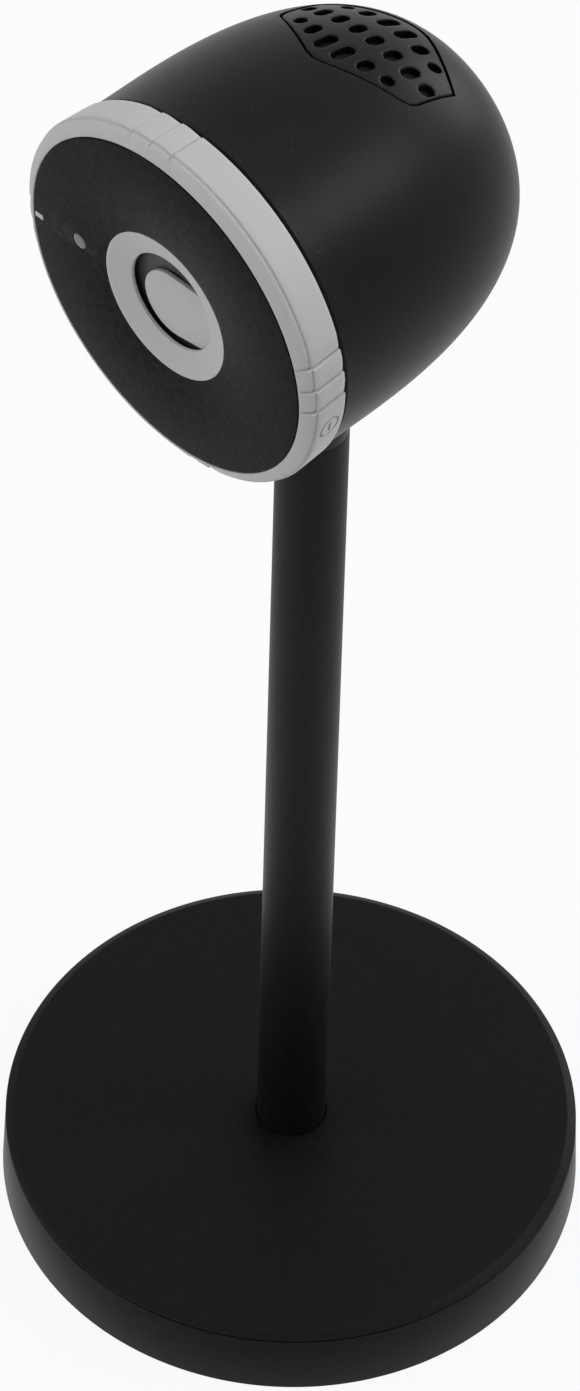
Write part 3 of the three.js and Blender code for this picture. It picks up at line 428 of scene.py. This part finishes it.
def spun(profile, axis="Y", steps=192, bevel=0.0, segments=3):
    """A bmesh of a profile of (radius, along) points turned round the Y or the Z axis."""
    mesh = bmesh.new()
    lay = (lambda r, a: (r, a, 0)) if axis == "Y" else (lambda r, a: (r, 0, a))
    verts = [mesh.verts.new(lay(r, a)) for r, a in profile]
    edges = [mesh.edges.new(pair) for pair in zip(verts, verts[1:])]
    if profile[0][0] > 0 or profile[-1][0] > 0:
        edges.append(mesh.edges.new((verts[-1], verts[0])))
    bmesh.ops.spin(
        mesh, geom=verts + edges, axis=(0, 1, 0) if axis == "Y" else (0, 0, 1), cent=(0, 0, 0),
        angle=2 * math.pi, steps=steps, use_merge=True, use_duplicate=False,
    )
    bmesh.ops.remove_doubles(mesh, verts=mesh.verts[:], dist=WELD)
    bmesh.ops.recalc_face_normals(mesh, faces=mesh.faces[:])
    if bevel:
        soften(mesh, bevel, segments=segments)
    return mesh


def prism(outline, low, high, axis="Z"):
    """A bmesh of an outline drawn out from low to high along the Y or the Z axis."""
    mesh = bmesh.new()
    lay = (lambda a, b: (a, b, low)) if axis == "Z" else (lambda a, b: (a, low, b))
    face = mesh.faces.new([mesh.verts.new(lay(a, b)) for a, b in outline])
    pulled = bmesh.ops.extrude_face_region(mesh, geom=[face])
    moved = [v for v in pulled["geom"] if isinstance(v, bmesh.types.BMVert)]
    way = (0, 0, high - low) if axis == "Z" else (0, high - low, 0)
    bmesh.ops.translate(mesh, verts=moved, vec=way)
    bmesh.ops.recalc_face_normals(mesh, faces=mesh.faces[:])
    return mesh


def refine(node, body, slot, bevel):
    """Shows a CAD node's own shape, merged, with its edges rounded as moulded or milled ones are."""
    mesh = bmesh.new()
    mesh.from_mesh(frame["nodes"][node].data)
    mesh.transform(TO_METRES.inverted())
    bmesh.ops.remove_doubles(mesh, verts=mesh.verts[:], dist=CAD_WELD)
    bmesh.ops.dissolve_limit(
        mesh, angle_limit=math.radians(1), verts=mesh.verts[:], edges=mesh.edges[:]
    )
    soften(mesh, bevel, degrees=30, segments=2)
    show(node, mesh, TO_METRES, body, slot)


def modified(piece, kind, **settings):
    """Adds one modifier to a piece and applies it."""
    modifier = piece.modifiers.new("step", kind)
    for key, value in settings.items():
        setattr(modifier, key, value)
    evaluated = piece.evaluated_get(bpy.context.evaluated_depsgraph_get())
    result = bpy.data.meshes.new_from_object(evaluated)
    piece.modifiers.clear()
    old = piece.data
    piece.data = result
    bpy.data.meshes.remove(old)


def loose(name, mesh):
    """Turns a bmesh into an object."""
    data = bpy.data.meshes.new(name)
    mesh.to_mesh(data)
    mesh.free()
    piece = bpy.data.objects.new(name, data)
    bpy.context.collection.objects.link(piece)
    return piece


def carve(piece, cutter, operation="DIFFERENCE"):
    """Cuts a bmesh out of an object, or keeps what the two share."""
    tool = loose("tool", cutter)
    modified(piece, "BOOLEAN", operation=operation, object=tool, solver="EXACT")
    bpy.data.objects.remove(tool)


def grown(piece):
    """Takes an object's mesh back as a bmesh and removes the object."""
    mesh = bmesh.new()
    mesh.from_mesh(piece.data)
    bpy.data.objects.remove(piece)
    return mesh


def circle(radius, degrees):
    """The point at an angle on a circle."""
    return radius * math.cos(math.radians(degrees)), radius * math.sin(math.radians(degrees))


def stadium(wide, high, steps=10):
    """The outline of a slot with round ends."""
    end = high / 2
    points = []
    for side in (1, -1):
        for i in range(steps + 1):
            x, z = circle(end, -90 + 180 * i / steps)
            points.append((side * (x + wide / 2 - end), side * z))
    return points


# ---- Base and pole ----
def make_stand():
    foot = spun(
        [(0, 0), (30, 0), (30.3, FOOT_GROOVE), (31.7, FOOT_GROOVE), (32, 0),
         (36, 0), (36.3, FOOT_GROOVE), (37.2, FOOT_GROOVE), (37.5, 0),
         (FOOT_RADIUS, 0), (FOOT_RADIUS, FOOT_THICK), (0, FOOT_THICK)],
        "Z", steps=160, bevel=0.12,
    )
    show("foot_pad", foot, ON_STAND, "stand", "foot_rubber")
    weight = spun(
        [(WASHER_BORE, FOOT_RECESS_ROOF), (FOOT_RECESS_RADIUS, FOOT_RECESS_ROOF),
         (FOOT_RECESS_RADIUS, BASE_BOTTOM), (BASE_RADIUS, BASE_BOTTOM),
         (BASE_EDGE_RADIUS, WEIGHT_TOP), (CAP_SEAT_RADIUS, WEIGHT_TOP),
         (CAP_SEAT_RADIUS, CAP_BOTTOM - SEAT_GAP), (POLE_BORE, CAP_BOTTOM - SEAT_GAP),
         (POLE_BORE, POLE_BORE_FLOOR), (SCREW_BORE, POLE_BORE_FLOOR),
         (SCREW_BORE, WASHER_ROOF), (WASHER_BORE, WASHER_ROOF)],
        "Z", steps=256, bevel=0.22,
    )
    show("base_weight", weight, ON_STAND, "stand", "base_paint")
    cap = spun(
        [(POLE_BORE, CAP_BOTTOM), (BASE_EDGE_RADIUS, CAP_BOTTOM),
         (BASE_EDGE_RADIUS, CAP_CHAMFER_BOTTOM), (BASE_TOP_RADIUS, BASE_HEIGHT),
         (POLE_BORE, BASE_HEIGHT)],
        "Z", steps=256, bevel=0.12,
    )
    show("base_cap", cap, ON_STAND, "stand", "cap_paint")
    pole = spun(
        [(POLE_INNER, POLE_FOOT), (POLE_RADIUS, POLE_FOOT), (POLE_RADIUS, POLE_TOP),
         (POLE_INNER, POLE_TOP)],
        "Z", steps=128, bevel=0.2,
    )
    show("pole_tube", pole, ON_STAND, "stand", "pole_paint")


# ---- Ball joint ----
def ball_arc(radius, start, end, steps):
    """Profile points on a circle, between two angles in degrees from the top."""
    points = []
    for i in range(steps + 1):
        angle = math.radians(start + (end - start) * i / steps)
        points.append((radius * math.sin(angle), radius * math.cos(angle)))
    return points


def make_ball_joint():
    cavity = BALL_RADIUS + LINER_GAP + LINER_THICK + LINER_GAP
    split_angle = math.degrees(math.acos(SOCKET_SPLIT / cavity))
    foot = POLE_TOP - BALL_HEIGHT + SEAT_GAP
    socket = spun(
        [(0, foot - SPIGOT_LENGTH), (SPIGOT_RADIUS, foot - SPIGOT_LENGTH), (SPIGOT_RADIUS, foot),
         (SOCKET_RADIUS, foot), (SOCKET_RADIUS, SOCKET_SPLIT),
         *ball_arc(cavity, split_angle, SOCKET_FLOOR_ANGLE, 14),
         (0, -cavity * SOCKET_FLOOR_SHARE - 0.1)],
        "Z", steps=96, bevel=0.08,
    )
    show("ball_socket", socket, ON_BALL, "stand", "pole_paint")
    mouth = cavity * math.cos(math.radians(SOCKET_MOUTH_ANGLE))
    cap_foot = cavity * math.cos(math.radians(split_angle - 1))
    cap = spun(
        [*ball_arc(cavity, SOCKET_MOUTH_ANGLE, split_angle - 1, 8), (SOCKET_RADIUS, cap_foot),
         (SOCKET_RADIUS, mouth - 0.5), (SOCKET_RADIUS - 0.4, mouth)],
        "Z", steps=96, bevel=0.1,
    )
    show("socket_cap", cap, ON_BALL, "stand", "pole_paint")
    ball = spun(ball_arc(BALL_RADIUS, 0, 180, 48), "Z", steps=96)
    show("ball", ball, ON_BALL, "ball", "steel")
    thread = [
        (THREAD_RADIUS - THREAD_STEP * (i % 2), THREAD_START + THREAD_STEP * i)
        for i in range(THREAD_CRESTS)
    ]
    stud = spun(
        [*ball_arc(BALL_RADIUS + SEAT_GAP, 0, STUD_FOOT_ANGLE, 12), (NECK_RADIUS, NECK_TOP),
         (2.4, 6.0), (2.7, FLANGE_BOTTOM), (FLANGE_RADIUS, FLANGE_BOTTOM),
         (FLANGE_RADIUS, FLANGE_TOP), (THREAD_RADIUS, FLANGE_TOP), *thread,
         (2.65, STUD_TOP), (0, STUD_TOP)],
        "Z", steps=96, bevel=0.1,
    )
    show("ball_stud", stud, ON_LEANING_BALL, "head", "steel")


# ---- Camera head ----
def dome(inset, steps=40):
    """Profile points of the head's back, a superellipse, from the straight part to the tip."""
    radius = BODY_RADIUS - inset
    length = BODY_LENGTH - BODY_STRAIGHT_END - inset
    points = []
    for i in range(steps + 1):
        angle = math.pi / 2 * i / steps
        r = 0 if i == steps else radius * math.cos(angle) ** (2 / DOME_POWER)
        points.append((r, BODY_STRAIGHT_END + length * math.sin(angle) ** (2 / DOME_POWER)))
    return points


def body_form(inset):
    """The head as a solid form, smaller by an inset."""
    return spun([(0, 0), (BODY_RADIUS - inset, 0), *dome(inset)])


# Half of the panel's outline, and its slots on one side as (x, front, back), seen from above.
PANEL_HALF = [
    (0, 28.1), (1.4, 28.4), (3.6, 29.4), (6, 30.5), (11.2, 32.9), (12.1, 33.7), (12.4, 34.8),
    (12.25, 41.3), (8.7, 43.2), (4.8, 45.1), (2.2, 46.2), (0, 46.5),
]
SLOTS = [
    (1.6, 29.9, 33.7), (4.95, 31.3, 34), (8.2, 32.5, 34.4), (1.6, 36.1, 38.9), (4.95, 36.1, 38.9),
    (8.2, 36.1, 38.9), (11.1, 36.5, 38.7), (1.6, 41.1, 44.7), (4.95, 41, 43.6), (8.2, 40.9, 42.7),
]
SLOT_WIDE = 1.8
PANEL_MIDDLE = 38
PANEL_SINK = 0.12
PANEL_THICK = 1.1
PANEL_RECESS_MARGIN = 0.4
PANEL_LEDGE = 1.1
PANEL_REACH = (8, 30)
PANEL_VOXEL = 0.16
PANEL_SMOOTHINGS = 3


def panel_outline(margin):
    """The panel's whole outline, moved outwards by a margin."""
    half = []
    for x, y in PANEL_HALF:
        along = y - PANEL_MIDDLE
        away = math.hypot(x, along)
        half.append((x * (away + margin) / away, PANEL_MIDDLE + along * (away + margin) / away))
    return half + [(-x, y) for x, y in half[-2:0:-1]]


def make_housing():
    shell = loose("shell", spun([
        *reversed(dome(0)), (BODY_RADIUS, HOUSING_FRONT + HOUSING_CHAMFER),
        (BODY_RADIUS - HOUSING_CHAMFER, HOUSING_FRONT), (BODY_RADIUS - BODY_WALL, HOUSING_FRONT),
        *dome(BODY_WALL),
    ]))
    recess = loose("recess", prism(panel_outline(PANEL_RECESS_MARGIN), *PANEL_REACH))
    carve(recess, body_form(PANEL_SINK + PANEL_THICK + SEAT_GAP))
    carve(shell, grown(recess))
    carve(shell, prism(panel_outline(-PANEL_LEDGE), *PANEL_REACH))
    low, high = INSERT_REACH
    bore = spun([(0, low), (INSERT_BORE, low), (INSERT_BORE, high), (0, high)], "Z", steps=64)
    bmesh.ops.translate(bore, verts=bore.verts[:], vec=(0, GLASS_FORWARD, 0))
    carve(shell, bore)
    carve(shell, prism(stadium(*USB_OPENING), *USB_REACH, "Y"))
    show("rear_housing", grown(shell), ON_HEAD, "head", "housing_plastic")


def make_panel():
    panel = loose("panel", prism(panel_outline(0), *PANEL_REACH))
    carve(panel, body_form(PANEL_SINK), "INTERSECT")
    carve(panel, body_form(PANEL_SINK + PANEL_THICK))
    for x, front, back in SLOTS:
        for side in (1, -1):
            outline = [
                (side * x - across, (front + back) / 2 + along)
                for along, across in stadium(back - front, SLOT_WIDE)
            ]
            carve(panel, prism(outline, *PANEL_REACH))
    modified(panel, "REMESH", mode="VOXEL", voxel_size=PANEL_VOXEL, adaptivity=0)
    mesh = grown(panel)
    for _ in range(PANEL_SMOOTHINGS):
        bmesh.ops.smooth_vert(
            mesh, verts=mesh.verts[:], factor=0.5, use_axis_x=True, use_axis_y=True, use_axis_z=True
        )
    show("grille_panel", mesh, ON_HEAD, "head", "housing_plastic")


RING_PROFILE = [
    (25.45, 0.12), (25.55, 0.02), (25.75, 0.04), (27.2, 0.96), (27.36, 1.1), (27.38, 1.2), (27.24, 1.34),
    (27.26, 1.58), (27.58, 1.7), (27.64, 1.85), (27.6, 2.6), (27.5, 4.2), (27.38, 6.0), (27.34, 6.4),
    (27.22, 6.72), (27.0, 6.85), (24.7, 6.85), (24.7, 2.4),
    (23.2, 2.4), (23.2, 1.65), (24.7, 1.65), (24.7, 1.05), (25.45, 1.05),
]
GRIP_INNER_RADIUS = 25.7
GRIP_FADE = 1.2
GRIP_DEPTH = 0.34
GRIP_STEP = 8.0
GRIP_RAMP = 5.2
GRIP_WALL = 0.08
GRIP_WALL_TAKES = 0.55
GRIP_FOOT = 0.3
GRIP_FOOT_WIDE = 0.6
GRIP_LINES = (-1, 0, 1)
ICON_ANGLE = 107.3
ICON_PLACE = (0, 4.0, 27.2)
ICON_INNER_RADIUS = 1.42
ICON_OUTER_RADIUS = 1.8
ICON_BAR = (1.9, 0.42)
ICON_CUT = 2


def from_grips(degrees):
    """An angle from the top of the ring as one from the middle of the nearest of its four grips."""
    return (degrees + 45) % 90 - 45


def grip_cut(degrees):
    """How deep the finger grips go at an angle from the top: a slope in, then a wall back out."""
    for k in GRIP_LINES:
        past = from_grips(degrees) - k * GRIP_STEP
        if -GRIP_RAMP <= past <= 0.01:
            foot = GRIP_FOOT if past > -GRIP_FOOT_WIDE else 0
            return GRIP_DEPTH * (1 + past / GRIP_RAMP) + foot
    return 0.0


def make_ring():
    mesh = spun(RING_PROFILE, steps=720)
    for vert in mesh.verts:
        x, y, z = vert.co
        radius = math.hypot(x, z)
        if radius < GRIP_INNER_RADIUS:
            continue
        reach = min(1.0, (radius - GRIP_INNER_RADIUS) / GRIP_FADE)
        turn = math.degrees(math.atan2(x, z))
        radius -= grip_cut(turn) * reach
        near = from_grips(turn)
        past = (near + 1.5 * GRIP_STEP) % GRIP_STEP - GRIP_STEP / 2
        if abs(near) < 1.5 * GRIP_STEP and 0.01 < past < GRIP_WALL_TAKES:
            turn -= past - GRIP_WALL
        vert.co.x = radius * math.sin(math.radians(turn))
        vert.co.z = radius * math.cos(math.radians(turn))
    ring = loose("ring", mesh)
    on_icon = Matrix.Rotation(math.radians(ICON_ANGLE), 4, "Y") @ Matrix.Translation(ICON_PLACE)
    groove = spun(
        [(ICON_INNER_RADIUS, 0), (ICON_OUTER_RADIUS, 0), (ICON_OUTER_RADIUS, ICON_CUT),
         (ICON_INNER_RADIUS, ICON_CUT)],
        "Z", steps=64,
    )
    groove.transform(on_icon)
    carve(ring, groove)
    bar = prism(stadium(*ICON_BAR), 0, ICON_CUT)
    bar.transform(on_icon)
    carve(ring, bar)
    show("control_ring", grown(ring), ON_HEAD @ RING_TURN, "ring", "grey_plastic")


GLASS_RADIUS = 25.35
GLASS_HOLE_RADIUS = 11.35
GLASS_CHAMFER = 0.15
GLASS_THICK = 1
LIGHT_PLACE = (-16.5, 0, 0.6)
LIGHT_HOLE_RADIUS = 1.25
MARK_POCKET = [(-25.15, -0.5), (-23.55, -0.5), (-23.55, 0.5), (-25.15, 0.5)]
MARK_POCKET_DEPTH = 0.25


def make_front():
    glass = loose("glass", spun(
        [(GLASS_HOLE_RADIUS, 0), (GLASS_RADIUS - GLASS_CHAMFER, 0), (GLASS_RADIUS, GLASS_CHAMFER),
         (GLASS_RADIUS, GLASS_THICK), (GLASS_HOLE_RADIUS, GLASS_THICK)],
        steps=256, bevel=0.05,
    ))
    hole = spun([(0, -1), (LIGHT_HOLE_RADIUS, -1), (LIGHT_HOLE_RADIUS, 2), (0, 2)], steps=48)
    bmesh.ops.translate(hole, verts=hole.verts[:], vec=LIGHT_PLACE)
    carve(glass, hole)
    carve(glass, prism(MARK_POCKET, -1, MARK_POCKET_DEPTH, "Y"))
    show("front_glass", grown(glass), ON_HEAD, "head", "front_glass")

    trim = spun(
        [(7.45, 1.25), (7.5, 1.12), (7.66, 1.04), (8.3, 0.86), (10.6, 0.14), (10.85, 0.05),
         (11.25, 0.02), (11.25, 1.05), (12.55, 1.05), (12.55, 1.55), (7.45, 1.55)],
    )
    show("lens_trim_ring", trim, ON_HEAD, "head", "grey_plastic")

    pipe = spun(
        [(0, 0.0), (0.6, 0.02), (1.08, 0.05), (1.2, 0.12), (1.2, 2.5), (0, 2.5)], steps=48
    )
    bmesh.ops.translate(pipe, verts=pipe.verts[:], vec=LIGHT_PLACE)
    show("light_pipe", pipe, ON_HEAD, "head", "light_pipe")


make_stand()
make_ball_joint()
make_housing()
make_panel()
make_ring()
make_front()
for node, body, slot, bevel in (
    ("shutter_blade", "shutter", "grey_plastic", 0.1),
    ("index_mark", "head", "mark_print", 0.05),
    ("usb_socket", "head", "steel", 0.06),
    ("lens_holder", "head", "inner_plastic", 0.15),
    ("sensor_board", "head", "circuit_board", 0.06),
    ("main_board", "head", "circuit_board", 0.06),
    ("image_sensor", "head", "chip_resin", 0.06),
    ("image_processor", "head", "chip_resin", 0.08),
    ("heat_spreader", "head", "aluminium", 0.1),
):
    refine(node, body, slot, bevel)

# ---- Finishes of the CAD nodes that stay ----
for part in frame["record"]["subparts"]:
    shown = frame["nodes"][part["node"]]
    for held in shown.material_slots:
        held.material = FINISHES[part["material_slot"]]


# ---- Room and light ----
WORLD_LIGHT = 0.18
WORLD_SEEN = 1.0
FLOOR_HALF = 3
FLOOR_COLOUR = (0.85, 0.85, 0.85, 1)
FLOOR_GLOW = 0.92


def background_rays(tree):
    """One where a ray comes from the camera, a gloss or a glass, so that these see the background."""
    path = tree.nodes.new("ShaderNodeLightPath")
    seen = path.outputs["Is Camera Ray"]
    for label in ("Is Glossy Ray", "Is Transmission Ray"):
        seen = math_node(tree, "MAXIMUM", seen, path.outputs[label])
    return seen


def make_room():
    world = bpy.data.worlds.new("studio")
    bpy.context.scene.world = world
    world.use_nodes = True
    tree = world.node_tree
    shade = tree.nodes["Background"]
    level = tree.nodes.new("ShaderNodeMapRange")
    level.inputs["To Min"].default_value = WORLD_LIGHT
    level.inputs["To Max"].default_value = WORLD_SEEN
    tree.links.new(background_rays(tree), level.inputs["Value"])
    tree.links.new(level.outputs[0], shade.inputs["Strength"])
    shade.inputs["Color"].default_value = (1, 1, 1, 1)

    floor_mesh = bmesh.new()
    bmesh.ops.create_grid(floor_mesh, x_segments=1, y_segments=1, size=FLOOR_HALF)
    floor = loose("floor", floor_mesh)
    material = bpy.data.materials.new("floor")
    material.use_nodes = True
    tree = material.node_tree
    tree.nodes.remove(tree.nodes["Principled BSDF"])
    diffuse = tree.nodes.new("ShaderNodeBsdfDiffuse")
    diffuse.inputs["Color"].default_value = FLOOR_COLOUR
    glow = tree.nodes.new("ShaderNodeEmission")
    glow.inputs["Strength"].default_value = 1.0
    mix = tree.nodes.new("ShaderNodeMixShader")
    glow_share = math_node(tree, "MULTIPLY", background_rays(tree), FLOOR_GLOW)
    tree.links.new(glow_share, mix.inputs[0])
    tree.links.new(diffuse.outputs[0], mix.inputs[1])
    tree.links.new(glow.outputs[0], mix.inputs[2])
    tree.links.new(mix.outputs[0], tree.nodes["Material Output"].inputs[0])
    floor.data.materials.append(material)


LAMP_AIM = Vector((0, 0, 0.15))
LAMP_AWAY = 1.4


def make_lamp(name, azimuth, elevation, size, power):
    """A round area lamp of a size in metres and a power in watts, aimed at the object."""
    data = bpy.data.lights.new(name, "AREA")
    data.shape = "DISK"
    data.size = size
    data.energy = power
    lamp = bpy.data.objects.new(name, data)
    level, height = circle(LAMP_AWAY, elevation)
    way = Vector((*circle(level, azimuth), height))
    turn = (-way).to_track_quat("-Z", "Y").to_matrix().to_4x4()
    lamp.matrix_world = Matrix.Translation(LAMP_AIM + way) @ turn
    bpy.context.collection.objects.link(lamp)


make_room()
for name, azimuth, elevation, size, power in (
    ("top_softbox", 180, 88, 0.8, 6.0),
    ("left_softbox", 225, 15, 0.75, 3.0),
    ("front_softbox", 270, 15, 0.75, 2.7),
    ("right_softbox", 45, 43, 0.62, 5.6),
    ("back_softbox", 90, 15, 0.75, 5.4),
):
    make_lamp(name, azimuth, elevation, size, power)
bpy.context.scene.view_settings.view_transform = "Standard"
